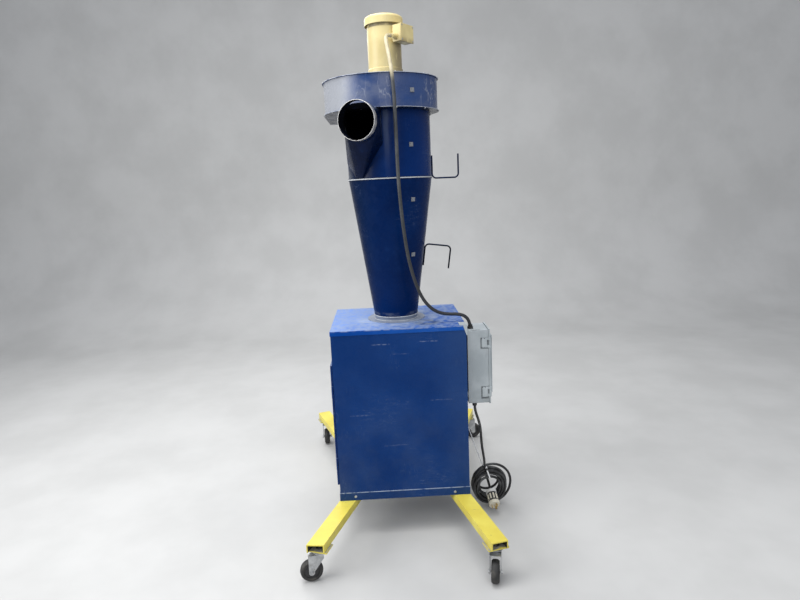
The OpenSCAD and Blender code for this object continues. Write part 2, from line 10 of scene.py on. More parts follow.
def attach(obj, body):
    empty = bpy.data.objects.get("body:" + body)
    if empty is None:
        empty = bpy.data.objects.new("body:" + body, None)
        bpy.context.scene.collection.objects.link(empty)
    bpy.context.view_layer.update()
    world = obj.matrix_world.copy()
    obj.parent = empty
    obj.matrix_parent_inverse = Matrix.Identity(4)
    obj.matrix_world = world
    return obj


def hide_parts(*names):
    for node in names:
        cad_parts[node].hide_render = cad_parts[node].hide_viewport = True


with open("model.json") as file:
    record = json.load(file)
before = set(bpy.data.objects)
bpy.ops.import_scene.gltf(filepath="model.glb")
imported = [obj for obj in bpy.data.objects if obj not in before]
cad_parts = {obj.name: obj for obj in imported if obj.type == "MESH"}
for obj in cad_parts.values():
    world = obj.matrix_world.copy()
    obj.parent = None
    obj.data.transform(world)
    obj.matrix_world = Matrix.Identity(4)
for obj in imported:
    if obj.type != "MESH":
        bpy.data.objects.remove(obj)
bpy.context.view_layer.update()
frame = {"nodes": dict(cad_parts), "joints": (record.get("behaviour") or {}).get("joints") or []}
NODES = frame["nodes"]

# ------------------------------------------------------------------ places
AX, AY, FZ = 1.3, -121.8, 14.0


def W(x, y, z):
    """A point of the cyclone's own frame, in mm, as metres in the row frame."""
    return Vector(((x + AX) / 1000.0, (y + AY) / 1000.0, (z - FZ) / 1000.0))


CX, CY = AX / 1000.0, AY / 1000.0


def rotz(a):
    return Matrix.Rotation(math.radians(a), 4, "Z")


# ------------------------------------------------------------------ camera
def make_camera():
    yaw, pitch, roll = 0.0247, 0.1863, -0.0429
    cy, sy, cp, sp = math.cos(yaw), math.sin(yaw), math.cos(pitch), math.sin(pitch)
    fwd = Vector((sy * cp, cy * cp, -sp))
    right = Vector((cy, -sy, 0.0))
    up = right.cross(fwd)
    cr, sr = math.cos(roll), math.sin(roll)
    r2 = right * cr + up * sr
    u2 = -right * sr + up * cr
    cam = bpy.data.cameras.new("camera")
    cam.sensor_width = 36.0
    cam.lens = 27.0
    cam.clip_start = 0.05
    cam.clip_end = 100.0
    ob = bpy.data.objects.new("camera", cam)
    bpy.context.scene.collection.objects.link(ob)
    m = Matrix((
        (r2.x, u2.x, -fwd.x, -0.0517 + CX),
        (r2.y, u2.y, -fwd.y, -2.9869 + CY),
        (r2.z, u2.z, -fwd.z, 1.7088 - FZ / 1000.0),
        (0, 0, 0, 1)))
    ob.matrix_world = m
    bpy.context.scene.camera = ob


make_camera()


# ------------------------------------------------------------------ node helpers
class Tree:
    """Small wrapper round a material's node tree."""

    def __init__(self, name):
        self.mat = bpy.data.materials.new(name)
        self.mat.use_nodes = True
        self.nt = self.mat.node_tree
        self.nt.nodes.clear()
        self.out = self.nt.nodes.new("ShaderNodeOutputMaterial")
        self.bsdf = self.nt.nodes.new("ShaderNodeBsdfPrincipled")
        self.nt.links.new(self.bsdf.outputs[0], self.out.inputs[0])
        self.tc = self.nt.nodes.new("ShaderNodeTexCoord")
        self.geo = self.nt.nodes.new("ShaderNodeNewGeometry")
        self.obj = self.tc.outputs["Object"]
        self.normal = self.geo.outputs["Normal"]

    def node(self, kind, **kw):
        n = self.nt.nodes.new(kind)
        for k, v in kw.items():
            setattr(n, k, v)
        return n

    def link(self, a, b):
        self.nt.links.new(a, b)

    def put(self, sock, v):
        if isinstance(v, bpy.types.NodeSocket):
            self.link(v, sock)
        elif isinstance(v, (tuple, list)) and len(v) == 3 and sock.type == "RGBA":
            sock.default_value = (v[0], v[1], v[2], 1.0)
        else:
            sock.default_value = v

    def mapping(self, scale=(1, 1, 1), loc=(0, 0, 0), rot=(0, 0, 0), vec=None):
        n = self.node("ShaderNodeMapping")
        self.link(vec or self.obj, n.inputs[0])
        n.inputs["Location"].default_value = loc
        n.inputs["Rotation"].default_value = rot
        n.inputs["Scale"].default_value = scale
        return n.outputs[0]

    def noise(self, scale, detail=3.0, rough=0.55, vec=None, dist=0.0):
        n = self.node("ShaderNodeTexNoise")
        self.link(vec or self.obj, n.inputs["Vector"])
        n.inputs["Scale"].default_value = scale
        n.inputs["Detail"].default_value = detail
        n.inputs["Roughness"].default_value = rough
        n.inputs["Distortion"].default_value = dist
        return n.outputs[0]

    def voronoi(self, scale, vec=None, feature="F1", rand=1.0):
        n = self.node("ShaderNodeTexVoronoi", feature=feature)
        self.link(vec or self.obj, n.inputs["Vector"])
        n.inputs["Scale"].default_value = scale
        n.inputs["Randomness"].default_value = rand
        return n.outputs["Distance"]

    def ramp(self, v, lo, hi, a=0.0, b=1.0, smooth=True):
        n = self.node("ShaderNodeMapRange")
        n.interpolation_type = "SMOOTHSTEP" if smooth else "LINEAR"
        n.clamp = True
        self.put(n.inputs["Value"], v)
        n.inputs["From Min"].default_value = lo
        n.inputs["From Max"].default_value = hi
        n.inputs["To Min"].default_value = a
        n.inputs["To Max"].default_value = b
        return n.outputs[0]

    def math(self, op, a, b=0.0, c=0.0, clamp=False):
        n = self.node("ShaderNodeMath", operation=op)
        n.use_clamp = clamp
        self.put(n.inputs[0], a)
        self.put(n.inputs[1], b)
        self.put(n.inputs[2], c)
        return n.outputs[0]

    def mul(self, a, b):
        return self.math("MULTIPLY", a, b)

    def add(self, a, b):
        return self.math("ADD", a, b)

    def mix(self, f, a, b):
        n = self.node("ShaderNodeMix", data_type="RGBA")
        self.put(n.inputs[0], f)
        self.put(n.inputs[6], a)
        self.put(n.inputs[7], b)
        return n.outputs[2]

    def mixf(self, f, a, b):
        n = self.node("ShaderNodeMix", data_type="FLOAT")
        self.put(n.inputs[0], f)
        self.put(n.inputs[2], a)
        self.put(n.inputs[3], b)
        return n.outputs[0]

    def xyz(self, vec=None):
        n = self.node("ShaderNodeSeparateXYZ")
        self.link(vec or self.obj, n.inputs[0])
        return n.outputs[0], n.outputs[1], n.outputs[2]

    def band(self, v, lo, hi, soft):
        """1 between lo and hi, falling to 0 over soft outside."""
        return self.mul(self.ramp(v, lo - soft, lo), self.ramp(v, hi, hi + soft, 1.0, 0.0))

    def bump(self, height, strength=0.3, dist=0.001, normal=None):
        n = self.node("ShaderNodeBump")
        n.inputs["Strength"].default_value = strength
        n.inputs["Distance"].default_value = dist
        self.put(n.inputs["Height"], height)
        if normal is not None:
            self.link(normal, n.inputs["Normal"])
        return n.outputs[0]

    def finish(self, color=None, rough=None, metal=None, bump=None, spec=None, coat=None, coat_rough=None):
        b = self.bsdf.inputs
        if color is not None:
            self.put(b["Base Color"], color)
        if rough is not None:
            self.put(b["Roughness"], rough)
        if metal is not None:
            self.put(b["Metallic"], metal)
        if bump is not None:
            self.link(bump, b["Normal"])
        if spec is not None:
            b["Specular IOR Level"].default_value = spec
        if coat is not None:
            b["Coat Weight"].default_value = coat
        if coat_rough is not None:
            b["Coat Roughness"].default_value = coat_rough
        return self.mat


def up_mask(t, lo=0.35, hi=0.95):
    x, y, z = t.xyz(t.normal)
    return t.ramp(z, lo, hi)


def scratches(t, scale, stretch, rot, width=0.012, keep=0.5):
    """Thin streaks: a narrow band of a stretched noise, kept only in patches."""
    v = t.mapping(scale=stretch, rot=rot)
    n = t.noise(scale, 2.0, 0.5, v, 0.2)
    line = t.math("ABSOLUTE", t.math("SUBTRACT", n, 0.5))
    line = t.ramp(line, 0.0, width, 1.0, 0.0)
    patch = t.noise(scale * 0.35, 2.0, 0.6)
    return t.mul(line, t.ramp(patch, keep, keep + 0.12))


# ------------------------------------------------------------------ materials
def blue_paint(name, deep=(0.0012, 0.018, 0.105), light=(0.004, 0.032, 0.150), dusty=0.4, rough=0.26, spec=0.14, drip=0.08, extra=None):
    t = Tree(name)
    big = t.noise(3.2, 4.0, 0.6)
    col = t.mix(t.ramp(big, 0.35, 0.68), deep, light)
    mid = t.noise(24.0, 4.0, 0.62)
    col = t.mix(t.ramp(mid, 0.54, 0.8, 0.0, 0.22), col, (0.010, 0.042, 0.15))
    # vertical runs and wiped streaks
    run = t.noise(7.0, 4.0, 0.6, t.mapping(scale=(6.0, 6.0, 0.5)))
    col = t.mix(t.ramp(run, 0.55, 0.75, 0.0, drip), col, (0.030, 0.060, 0.14))
    if extra is not None:
        col = extra(t, col)
    # fine scuffs
    s1 = scratches(t, 9.0, (1.0, 1.0, 8.0), (0.0, 0.5, 0.2), 0.008, 0.55)
    s2 = scratches(t, 14.0, (5.0, 5.0, 0.6), (0.2, 0.0, 0.0), 0.010, 0.58)
    scuff = t.math("MAXIMUM", s1, s2)
    col = t.mix(t.mul(scuff, 0.35), col, (0.14, 0.19, 0.30))
    # chips down to pale metal
    chipn = t.noise(55.0, 3.0, 0.7)
    chip = t.mul(t.ramp(chipn, 0.73, 0.76), t.ramp(t.noise(4.0, 2.0), 0.5, 0.62))
    col = t.mix(t.mul(chip, 0.6), col, (0.28, 0.30, 0.34))
    up = up_mask(t)
    dust = t.mul(up, t.ramp(t.noise(8.0, 5.0, 0.65), 0.25, 0.75, 0.35, 1.0))
    col = t.mix(t.mul(dust, dusty), col, (0.24, 0.33, 0.52))
    rg = t.add(t.ramp(mid, 0.3, 0.7, rough - 0.06, rough + 0.10), t.mul(dust, 0.18))
    peel = t.noise(160.0, 2.0, 0.5)
    dent = t.noise(5.0, 2.0, 0.5)
    b1 = t.bump(peel, 0.12, 0.0006)
    b2 = t.bump(dent, 0.35, 0.004, b1)
    return t.finish(col, rg, 0.0, b2, spec=spec)


def wx(v):
    return (v + AX) / 1000.0


def wy(v):
    return (v + AY) / 1000.0


def wz(v):
    return (v - FZ) / 1000.0


def front_panel_marks(t, col):
    x, y, z = t.xyz()
    haze = t.mul(t.ramp(z, wz(250), wz(900), 1.0, 0.25), t.ramp(t.noise(7.0, 5.0, 0.65), 0.36, 0.68))
    col = t.mix(t.mul(haze, 0.22), col, (0.055, 0.085, 0.16))
    left = t.mul(t.ramp(x, wx(-320), wx(-190), 1.0, 0.0), t.ramp(z, wz(230), wz(560), 1.0, 0.0))
    col = t.mix(t.mul(left, 0.18), col, (0.10, 0.12, 0.17))
    right = t.ramp(x, wx(120), wx(320), 0.0, 0.35)
    col = t.mix(t.mul(right, t.ramp(z, wz(300), wz(1040), 0.4, 1.0)), col, (0.035, 0.075, 0.18))
    # long level scratches near the top
    wob = t.noise(14.0, 3.0, 0.6, t.mapping(scale=(1.0, 1.0, 0.2)))
    zz = t.add(z, t.mul(wob, 0.010))
    for x0, x1, z0, k in ((-118, -50, 985, 0.28), (105, 176, 992, 0.26), (-20, 38, 936, 0.15), (150, 240, 700, 0.12), (-240, -170, 640, 0.14), (-90, 20, 480, 0.1)):
        m = t.mul(t.band(zz, wz(z0) + 0.005, wz(z0) + 0.007, 0.0022), t.band(x, wx(x0), wx(x1), 0.012))
        m = t.mul(m, t.ramp(t.noise(70.0, 3.0, 0.7), 0.36, 0.58))
        col = t.mix(t.mul(m, k), col, (0.42, 0.47, 0.56))
    return col


def barrel_marks(t, col):
    x, y, z = t.xyz()
    # painted shade darkens the front of the barrel round and left of the inlet almost to black; a grey patch sits left
    # of the inlet and a pale streak right of it is a painted highlight
    left = t.mul(t.ramp(x, wx(-130), wx(-10), 1.0, 0.0), t.ramp(y, wy(10), wy(-60), 0.0, 1.0))
    col = t.mix(t.mul(left, 0.8), col, (0.0035, 0.006, 0.014))
    tri = t.mul(t.ramp(x, wx(-196), wx(-170), 1.0, 0.0), t.ramp(z, wz(1755), wz(1815), 1.0, 0.0))
    col = t.mix(t.mul(tri, 0.8), col, (0.10, 0.11, 0.13))
    st = t.mul(t.band(t.add(x, t.mul(t.noise(5.0, 2.0), 0.02)), wx(-8), wx(2), 0.012), t.ramp(z, wz(1790), wz(1990), 0.1, 1.0))
    col = t.mix(t.mul(st, 0.35), col, (0.13, 0.17, 0.26))
    # painted light: a lighter blue band right of the lead, the barrel's lit side
    lit_band_right = t.mul(t.ramp(x, wx(40), wx(90)), t.ramp(x, wx(150), wx(200), 1.0, 0.2))
    return t.mix(t.mul(lit_band_right, 0.5), col, (0.0012, 0.024, 0.135))


def cone_marks(t, col):
    x, y, z = t.xyz()
    # darker towards the foot of the cone
    low = t.ramp(z, wz(1080), wz(1500), 0.55, 0.0)
    col = t.mix(low, col, (0.0004, 0.015, 0.085))
    # painted shade: the left side of the cone is darkened almost to black
    left = t.ramp(x, wx(-190), wx(-40), 0.75, 0.0)
    col = t.mix(left, col, (0.0008, 0.007, 0.024))
    band = t.band(z, wz(1082), wz(1098), 0.008)
    return t.mix(t.mul(band, t.ramp(t.noise(30.0, 3.0), 0.4, 0.7, 0.0, 0.5)), col, (0.12, 0.14, 0.18))


def fan_marks(t, col):
    x, y, z = t.xyz()
    n = t.noise(5.0, 5.0, 0.62, t.mapping(scale=(1.0, 1.0, 1.8)))
    front = t.ramp(y, wy(60), wy(-40), 0.35, 1.0)
    edge = t.ramp(t.add(x, t.mul(n, 0.05)), wx(-205), wx(-95), 1.0, 0.0)
    wipe = t.mul(t.ramp(n, 0.34, 0.62), t.ramp(x, wx(-150), wx(140), 0.70, 0.10))
    low = t.mul(t.ramp(z, wz(2058), wz(2105), 1.0, 0.0), t.ramp(t.noise(8.0, 4.0, 0.6), 0.35, 0.65, 0.2, 0.8))
    # the haze is scuffed grey with painted reflection along the front and the left edge
    haze = t.mul(front, t.math("MINIMUM", t.math("MAXIMUM", t.math("MAXIMUM", edge, wipe), t.mul(low, 0.6)), 0.95))
    col = t.mix(haze, col, (0.155, 0.175, 0.235))
    # painted reflection: a pale grey sheen on the front left edge of the scroll
    col = t.mix(t.mul(t.mul(edge, front), 0.62), col, (0.40, 0.41, 0.42))
    s1 = scratches(t, 8.0, (3.0, 3.0, 1.0), (0.3, 0.9, 0.2), 0.014, 0.45)
    return t.mix(t.mul(t.mul(s1, front), 0.5), col, (0.34, 0.36, 0.42))


def plate_edge(t, col):
    # the rolled-off rim of the plates is worn bright
    x, y, z = t.xyz(t.normal)
    side = t.ramp(t.math("ABSOLUTE", z), 0.25, 0.75, 1.0, 0.0)
    worn = t.mul(side, t.ramp(t.noise(26.0, 4.0, 0.65), 0.26, 0.52))
    return t.mix(t.mul(worn, 0.9), col, (0.50, 0.53, 0.57))


def underside_shade_and_worn_rim(t, col):
    x, y, z = t.xyz(t.normal)
    # painted shade: downward faces are darkened almost to black
    down = t.ramp(z, -0.9, -0.5, 1.0, 0.0)
    col = t.mix(t.mul(down, 0.85), col, (0.006, 0.010, 0.022))
    return plate_edge(t, col)


def lid_marks(t, col):
    x, y, z = t.xyz()
    up = up_mask(t)
    # painted reflection: the top is lightened towards the left and the back
    g = t.add(t.ramp(x, wx(-320), wx(320), 1.0, 0.12), t.ramp(y, wy(-262), wy(262), -0.15, 0.35))
    g = t.mul(up, t.mul(g, t.ramp(t.noise(6.0, 4.0, 0.6), 0.3, 0.7, 0.72, 1.08)))
    col = t.mix(t.math("MINIMUM", g, 0.88), col, (0.20, 0.31, 0.64))
    # pale dust beside the collar and a dark patch right of the cone
    d = t.math("SQRT", t.add(t.math("POWER", t.math("SUBTRACT", x, wx(0)), 2.0), t.math("POWER", t.math("SUBTRACT", y, wy(0)), 2.0)))
    ring = t.mul(up, t.mul(t.band(d, 0.145, 0.185, 0.04), t.ramp(t.noise(12.0, 4.0), 0.4, 0.65)))
    col = t.mix(t.mul(ring, 0.6), col, (0.40, 0.47, 0.60))
    smx = t.math("DIVIDE", t.math("SUBTRACT", x, wx(140)), 0.075)
    smy = t.math("DIVIDE", t.math("SUBTRACT", y, wy(-150)), 0.07)
    sm = t.math("SQRT", t.add(t.mul(smx, smx), t.mul(smy, smy)))
    sm = t.mul(up, t.mul(t.ramp(sm, 0.5, 1.2, 1.0, 0.0), t.ramp(t.noise(20.0, 4.0), 0.3, 0.6)))
    col = t.mix(t.mul(sm, 0.8), col, (0.012, 0.030, 0.085))
    nx, ny, nz = t.xyz(t.normal)
    edge = t.mul(t.band(z, wz(1055.5), wz(1060), 0.0015), t.ramp(t.noise(40.0, 3.0), 0.36, 0.6))
    return t.mix(t.mul(edge, 0.5), col, (0.30, 0.36, 0.46))


def pan_marks(t, col):
    x, y, z = t.xyz()
    top = t.mul(t.band(z, wz(244.3), wz(249), 0.0016), t.ramp(t.noise(30.0, 3.0, 0.6), 0.30, 0.55))
    col = t.mix(t.mul(top, 0.9), col, (0.34, 0.40, 0.50))
    return t.mix(t.ramp(t.noise(10.0, 5.0, 0.65), 0.35, 0.75, 0.0, 0.30), col, (0.045, 0.070, 0.125))


def yellow_paint(name="yellow_paint"):
    t = Tree(name)
    big = t.noise(6.0, 4.0, 0.6)
    col = t.mix(t.ramp(big, 0.35, 0.7), (0.70, 0.58, 0.075), (0.79, 0.69, 0.12))
    smear = t.noise(9.0, 5.0, 0.65, t.mapping(scale=(1.0, 1.0, 3.0)))
    col = t.mix(t.ramp(smear, 0.58, 0.8, 0.0, 0.4), col, (0.42, 0.38, 0.20))
    x, y, z = t.xyz()
    low = t.ramp(z, 0.140, 0.185, 1.0, 0.0)
    grime = t.mul(low, t.ramp(t.noise(22.0, 4.0, 0.6), 0.3, 0.8))
    col = t.mix(t.mul(grime, 0.45), col, (0.16, 0.14, 0.09))
    up = up_mask(t, 0.7, 0.95)
    plate = t.mul(up, t.band(z, 0.151, 0.1545, 0.001))
    nose = t.mul(plate, t.ramp(t.noise(40.0, 3.0), 0.3, 0.6, 0.6, 1.0))
    col = t.mix(nose, col, (0.30, 0.30, 0.27))
    chipn = t.noise(42.0, 3.0, 0.7)
    chip = t.mul(t.ramp(chipn, 0.66, 0.70), t.ramp(t.noise(7.0, 2.0), 0.48, 0.6))
    col = t.mix(t.mul(chip, 0.8), col, (0.11, 0.09, 0.07))
    s1 = scratches(t, 12.0, (1.0, 5.0, 1.0), (0.0, 0.0, 0.3), 0.012, 0.5)
    col = t.mix(t.mul(s1, 0.5), col, (0.25, 0.22, 0.15))
    b1 = t.bump(t.noise(180.0, 2.0), 0.12, 0.0006)
    b2 = t.bump(chip, -0.4, 0.0006, b1)
    return t.finish(col, t.ramp(big, 0.3, 0.7, 0.34, 0.5), 0.0, b2, spec=0.5)


def zinc(name="zinc"):
    t = Tree(name)
    n = t.noise(30.0, 4.0, 0.6)
    col = t.mix(t.ramp(n, 0.35, 0.7), (0.36, 0.37, 0.38), (0.60, 0.61, 0.61))
    spot = t.ramp(t.noise(70.0, 3.0, 0.7), 0.6, 0.72)
    col = t.mix(t.mul(spot, 0.5), col, (0.22, 0.19, 0.15))
    b = t.bump(t.noise(220.0, 2.0), 0.15, 0.0004)
    return t.finish(col, t.ramp(n, 0.3, 0.7, 0.32, 0.52), 0.9, b)


def rubber(name="rubber", base=(0.018, 0.018, 0.018), dust=(0.16, 0.15, 0.13), amount=0.5, rough=0.5):
    t = Tree(name)
    n = t.noise(18.0, 5.0, 0.65)
    col = t.mix(t.ramp(n, 0.45, 0.8, 0.0, amount), base, dust)
    fine = t.noise(260.0, 2.0)
    b = t.bump(fine, 0.2, 0.0005)
    return t.finish(col, t.ramp(n, 0.3, 0.7, rough, rough + 0.25), 0.0, b)


def plastic(name, base, rough=0.42, dirt=(0.12, 0.11, 0.1), amount=0.25, bump=0.1):
    t = Tree(name)
    n = t.noise(25.0, 4.0, 0.6)
    col = t.mix(t.ramp(n, 0.5, 0.8, 0.0, amount), base, dirt)
    b = t.bump(t.noise(300.0, 2.0), bump, 0.0004)
    return t.finish(col, t.ramp(n, 0.3, 0.7, rough, rough + 0.12), 0.0, b)


def cream_paint(name="cream_paint"):
    t = Tree(name)
    big = t.noise(9.0, 4.0, 0.6)
    col = t.mix(t.ramp(big, 0.35, 0.7), (0.60, 0.485, 0.215), (0.70, 0.585, 0.275))
    d = t.noise(40.0, 4.0, 0.65)
    col = t.mix(t.ramp(d, 0.62, 0.8, 0.0, 0.5), col, (0.35, 0.27, 0.16))
    run = t.noise(12.0, 3.0, 0.6, t.mapping(scale=(4.0, 4.0, 0.5)))
    col = t.mix(t.ramp(run, 0.58, 0.78, 0.0, 0.25), col, (0.45, 0.36, 0.22))
    x, y, z = t.xyz()
    # oily stains on the right side below the junction box, and painted shade in a band under the cowl
    sx = t.mul(t.ramp(x, wx(20), wx(60)), t.band(z, wz(2205), wz(2352), 0.03))
    st = t.mul(sx, t.ramp(t.noise(16.0, 4.0, 0.65, t.mapping(scale=(1.5, 1.5, 0.7))), 0.38, 0.54))
    col = t.mix(t.mul(st, 0.62), col, (0.16, 0.11, 0.06))
    shade_under_cowl = t.mul(t.band(z, wz(2436), wz(2443), 0.006), t.ramp(t.noise(30.0, 3.0), 0.3, 0.6, 0.4, 1.0))
    col = t.mix(t.mul(shade_under_cowl, 0.8), col, (0.07, 0.05, 0.03))
    foot = t.mul(t.band(z, wz(2196), wz(2203), 0.008), t.ramp(t.noise(24.0, 3.0), 0.35, 0.6, 0.2, 1.0))
    col = t.mix(t.mul(foot, 0.6), col, (0.16, 0.12, 0.07))
    b1 = t.bump(t.noise(140.0, 3.0, 0.6), 0.22, 0.0008)
    return t.finish(col, t.ramp(big, 0.3, 0.7, 0.36, 0.5), 0.0, b1)


def grey_paint(name="grey_paint", a=(0.34, 0.38, 0.40), b=(0.44, 0.48, 0.50), extra=None):
    t = Tree(name)
    big = t.noise(8.0, 4.0, 0.6)
    col = t.mix(t.ramp(big, 0.35, 0.7), a, b)
    sm = t.noise(16.0, 4.0, 0.65, t.mapping(scale=(3.0, 3.0, 0.6)))
    col = t.mix(t.ramp(sm, 0.6, 0.8, 0.0, 0.3), col, (0.2, 0.2, 0.2))
    s1 = scratches(t, 16.0, (1.0, 1.0, 6.0), (0.3, 0.4, 0.0), 0.012, 0.52)
    col = t.mix(t.mul(s1, 0.5), col, (0.62, 0.64, 0.66))
    if extra is not None:
        col = extra(t, col)
    b1 = t.bump(t.noise(170.0, 2.0, 0.5), 0.18, 0.0006)
    return t.finish(col, t.ramp(big, 0.3, 0.7, 0.38, 0.5), 0.0, b1)


def box_marks(t, col):
    # dark seam across the top and grime along the lower edge of the enclosure
    x, y, z = t.xyz()
    seam = t.mul(t.mul(t.ramp(z, wz(1019), wz(1020.5)), t.band(x, wx(352), wx(392), 0.002)), t.band(y, wy(-209), wy(-203), 0.0015))
    col = t.mix(t.mul(seam, 0.9), col, (0.02, 0.022, 0.025))
    low = t.mul(t.ramp(z, wz(658), wz(700), 1.0, 0.0), t.ramp(t.noise(20.0, 4.0), 0.35, 0.65))
    return t.mix(t.mul(low, 0.35), col, (0.14, 0.14, 0.13))


def bare_metal(name="bare_metal"):
    t = Tree(name)
    n = t.noise(20.0, 5.0, 0.65)
    col = t.mix(t.ramp(n, 0.3, 0.7), (0.42, 0.42, 0.42), (0.68, 0.67, 0.65))
    ru = t.ramp(t.noise(34.0, 4.0, 0.7), 0.56, 0.7)
    col = t.mix(t.mul(ru, 0.6), col, (0.16, 0.10, 0.06))
    b1 = t.bump(n, 0.2, 0.0008)
    return t.finish(col, t.ramp(n, 0.3, 0.7, 0.28, 0.5), 0.85, b1)


def brass(name="brass"):
    t = Tree(name)
    n = t.noise(60.0, 3.0)
    col = t.mix(t.ramp(n, 0.35, 0.7), (0.52, 0.36, 0.12), (0.74, 0.56, 0.24))
    return t.finish(col, t.ramp(n, 0.3, 0.7, 0.25, 0.45), 1.0, t.bump(n, 0.1, 0.0004))


M = {}
M["blue"] = blue_paint("blue_paint")
M["front"] = blue_paint("front_paint", deep=(0.0012, 0.026, 0.130), light=(0.004, 0.036, 0.160), spec=0.12, drip=0.05, extra=front_panel_marks)
M["pan"] = blue_paint("pan_paint", deep=(0.003, 0.026, 0.110), light=(0.008, 0.040, 0.150), spec=0.14, extra=pan_marks)
M["cone"] = blue_paint("cone_paint", deep=(0.0004, 0.010, 0.058), light=(0.0008, 0.016, 0.085), dusty=0.2, spec=0.07, drip=0.03, extra=cone_marks)
M["barrel"] = blue_paint("barrel_paint", deep=(0.0005, 0.013, 0.076), light=(0.0012, 0.020, 0.110), dusty=0.2, spec=0.08, drip=0.05, extra=barrel_marks)
M["fan"] = blue_paint("fan_paint", deep=(0.008, 0.036, 0.140), light=(0.018, 0.055, 0.185), spec=0.3, extra=fan_marks)
M["fan_top"] = blue_paint("fan_cover_paint", dusty=0.6, extra=plate_edge)
M["fan_under"] = blue_paint("fan_floor_paint", dusty=0.4, extra=underside_shade_and_worn_rim)
# painted shade: a near-black copy of the blue paint for the inlet transition and the hooks, which stand in shade
M["duct"] = blue_paint("transition_shaded_paint", deep=(0.0006, 0.0028, 0.012), light=(0.0016, 0.008, 0.040), spec=0.08, drip=0.06)
# painted light: the lid is a lighter blue than the rest of the paint, for its lit top
M["lid"] = blue_paint("lid_paint", deep=(0.003, 0.050, 0.270), light=(0.012, 0.080, 0.350), dusty=0.08, rough=0.45, spec=0.03, extra=lid_marks)
# painted shade: near-black for the inner faces of the barrel, cone, inlet pipe and transition
M["inside"] = blue_paint("inside_painted_shade", deep=(0.0010, 0.0012, 0.0020), light=(0.002, 0.003, 0.006), dusty=0.0, rough=0.7, spec=0.08, drip=0.0)
M["yellow"] = yellow_paint()
M["zinc"] = zinc()
M["tyre"] = rubber("tyre_rubber")
M["hub"] = plastic("hub_plastic", (0.02, 0.02, 0.022), 0.4, (0.12, 0.11, 0.1), 0.4)
M["cream"] = cream_paint()
M["grey"] = grey_paint(extra=box_marks)
M["disc"] = grey_paint("disc_paint", (0.42, 0.44, 0.46), (0.55, 0.57, 0.58))
M["bare"] = bare_metal()
M["nylon"] = plastic("nylon_white", (0.62, 0.62, 0.60), 0.4, (0.35, 0.33, 0.3), 0.35)
M["black_plastic"] = plastic("black_plastic", (0.02, 0.02, 0.02), 0.4, (0.12, 0.12, 0.12), 0.25)
# the pale grey patches on the cord jacket are dust and also painted highlights on the turns
M["cord"] = rubber("cord_jacket", (0.016, 0.016, 0.017), (0.21, 0.22, 0.22), 0.6, 0.32)


def lead_jacket(name="lead_jacket"):
    t = Tree(name)
    n = t.noise(18.0, 5.0, 0.65)
    x, y, z = t.xyz()
    col = t.mix(t.ramp(n, 0.35, 0.75, 0.1, 0.8), (0.026, 0.029, 0.032), (0.080, 0.085, 0.088))
    # painted shade: the jacket is darkened towards the cabinet
    col = t.mix(t.ramp(z, wz(1240), wz(1700), 0.8, 0.0), col, (0.016, 0.017, 0.020))
    # pale cream in front of the motor, partly dust on the jacket and partly painted light on its lit upper run
    col = t.mix(t.ramp(z, wz(2150), wz(2215)), col, t.mix(t.ramp(n, 0.3, 0.7), (0.40, 0.34, 0.20), (0.56, 0.50, 0.34)))
    b = t.bump(t.noise(260.0, 2.0), 0.2, 0.0005)
    return t.finish(col, t.ramp(n, 0.3, 0.7, 0.42, 0.62), 0.0, b)


M["lead"] = lead_jacket()
M["face"] = plastic("plug_face", (0.66, 0.62, 0.50), 0.4, (0.30, 0.27, 0.20), 0.35)
M["rope"] = plastic("tie_nylon", (0.88, 0.89, 0.90), 0.45, (0.60, 0.60, 0.60), 0.2)
M["collar"] = grey_paint("collar_paint", (0.17, 0.20, 0.27), (0.25, 0.29, 0.36))
# painted shade: the dark outer plate of each hinge leaf, as the shade round its raised centre
M["leaf"] = grey_paint("leaf_shade_outline", (0.09, 0.10, 0.11), (0.17, 0.19, 0.20))
# painted shade: near-black for the inner faces of the yellow channel legs
M["channel"] = grey_paint("channel_inside", (0.030, 0.028, 0.024), (0.060, 0.055, 0.045))
M["mount"] = plastic("mount_nylon", (0.20, 0.21, 0.23), 0.5, (0.10, 0.10, 0.11), 0.5)
M["brass"] = brass()


# ------------------------------------------------------------------ mesh helpers
def link(ob):
    bpy.context.scene.collection.objects.link(ob)
    return ob


def set_mats(ob, *names):
    ob.data.materials.clear()
    for n in names:
        ob.data.materials.append(M[n])


def new_mesh(name, bm, mats, smooth=True):
    me = bpy.data.meshes.new(name)
    bm.to_mesh(me)
    bm.free()
    ob = link(bpy.data.objects.new(name, me))
    for m in mats:
        me.materials.append(M[m])
    if smooth:
        for p in me.polygons:
            p.use_smooth = True
    return ob


def soften(ob, width=0.0008, segments=2, angle=32.0, weld=True):
    """Rounded edges and clean shading on a carried-over node, by modifiers only."""
    me = ob.data
    for p in me.polygons:
        p.use_smooth = True
    if weld:
        w = ob.modifiers.new("weld", "WELD")
        w.merge_threshold = 0.00001
    if width > 0:
        b = ob.modifiers.new("bevel", "BEVEL")
        b.width = width
        b.segments = segments
        b.limit_method = "ANGLE"
        b.angle_limit = math.radians(angle)
        b.use_clamp_overlap = True
        b.harden_normals = False
    n = ob.modifiers.new("normals", "WEIGHTED_NORMAL")
    n.keep_sharp = True
    n.weight = 100
    return ob


def spline_points(p, k):
    out = []
    n = len(p)
    for i in range(n - 1):
        a, b, c, d = p[max(i - 1, 0)], p[i], p[i + 1], p[min(i + 2, n - 1)]
        for j in range(k):
            u = j / k
            out.append(0.5 * (2 * b + u * (c - a) + u * u * (2 * a - 5 * b + 4 * c - d) + u * u * u * (3 * b - a - 3 * c + d)))
    out.append(p[-1])
    return out


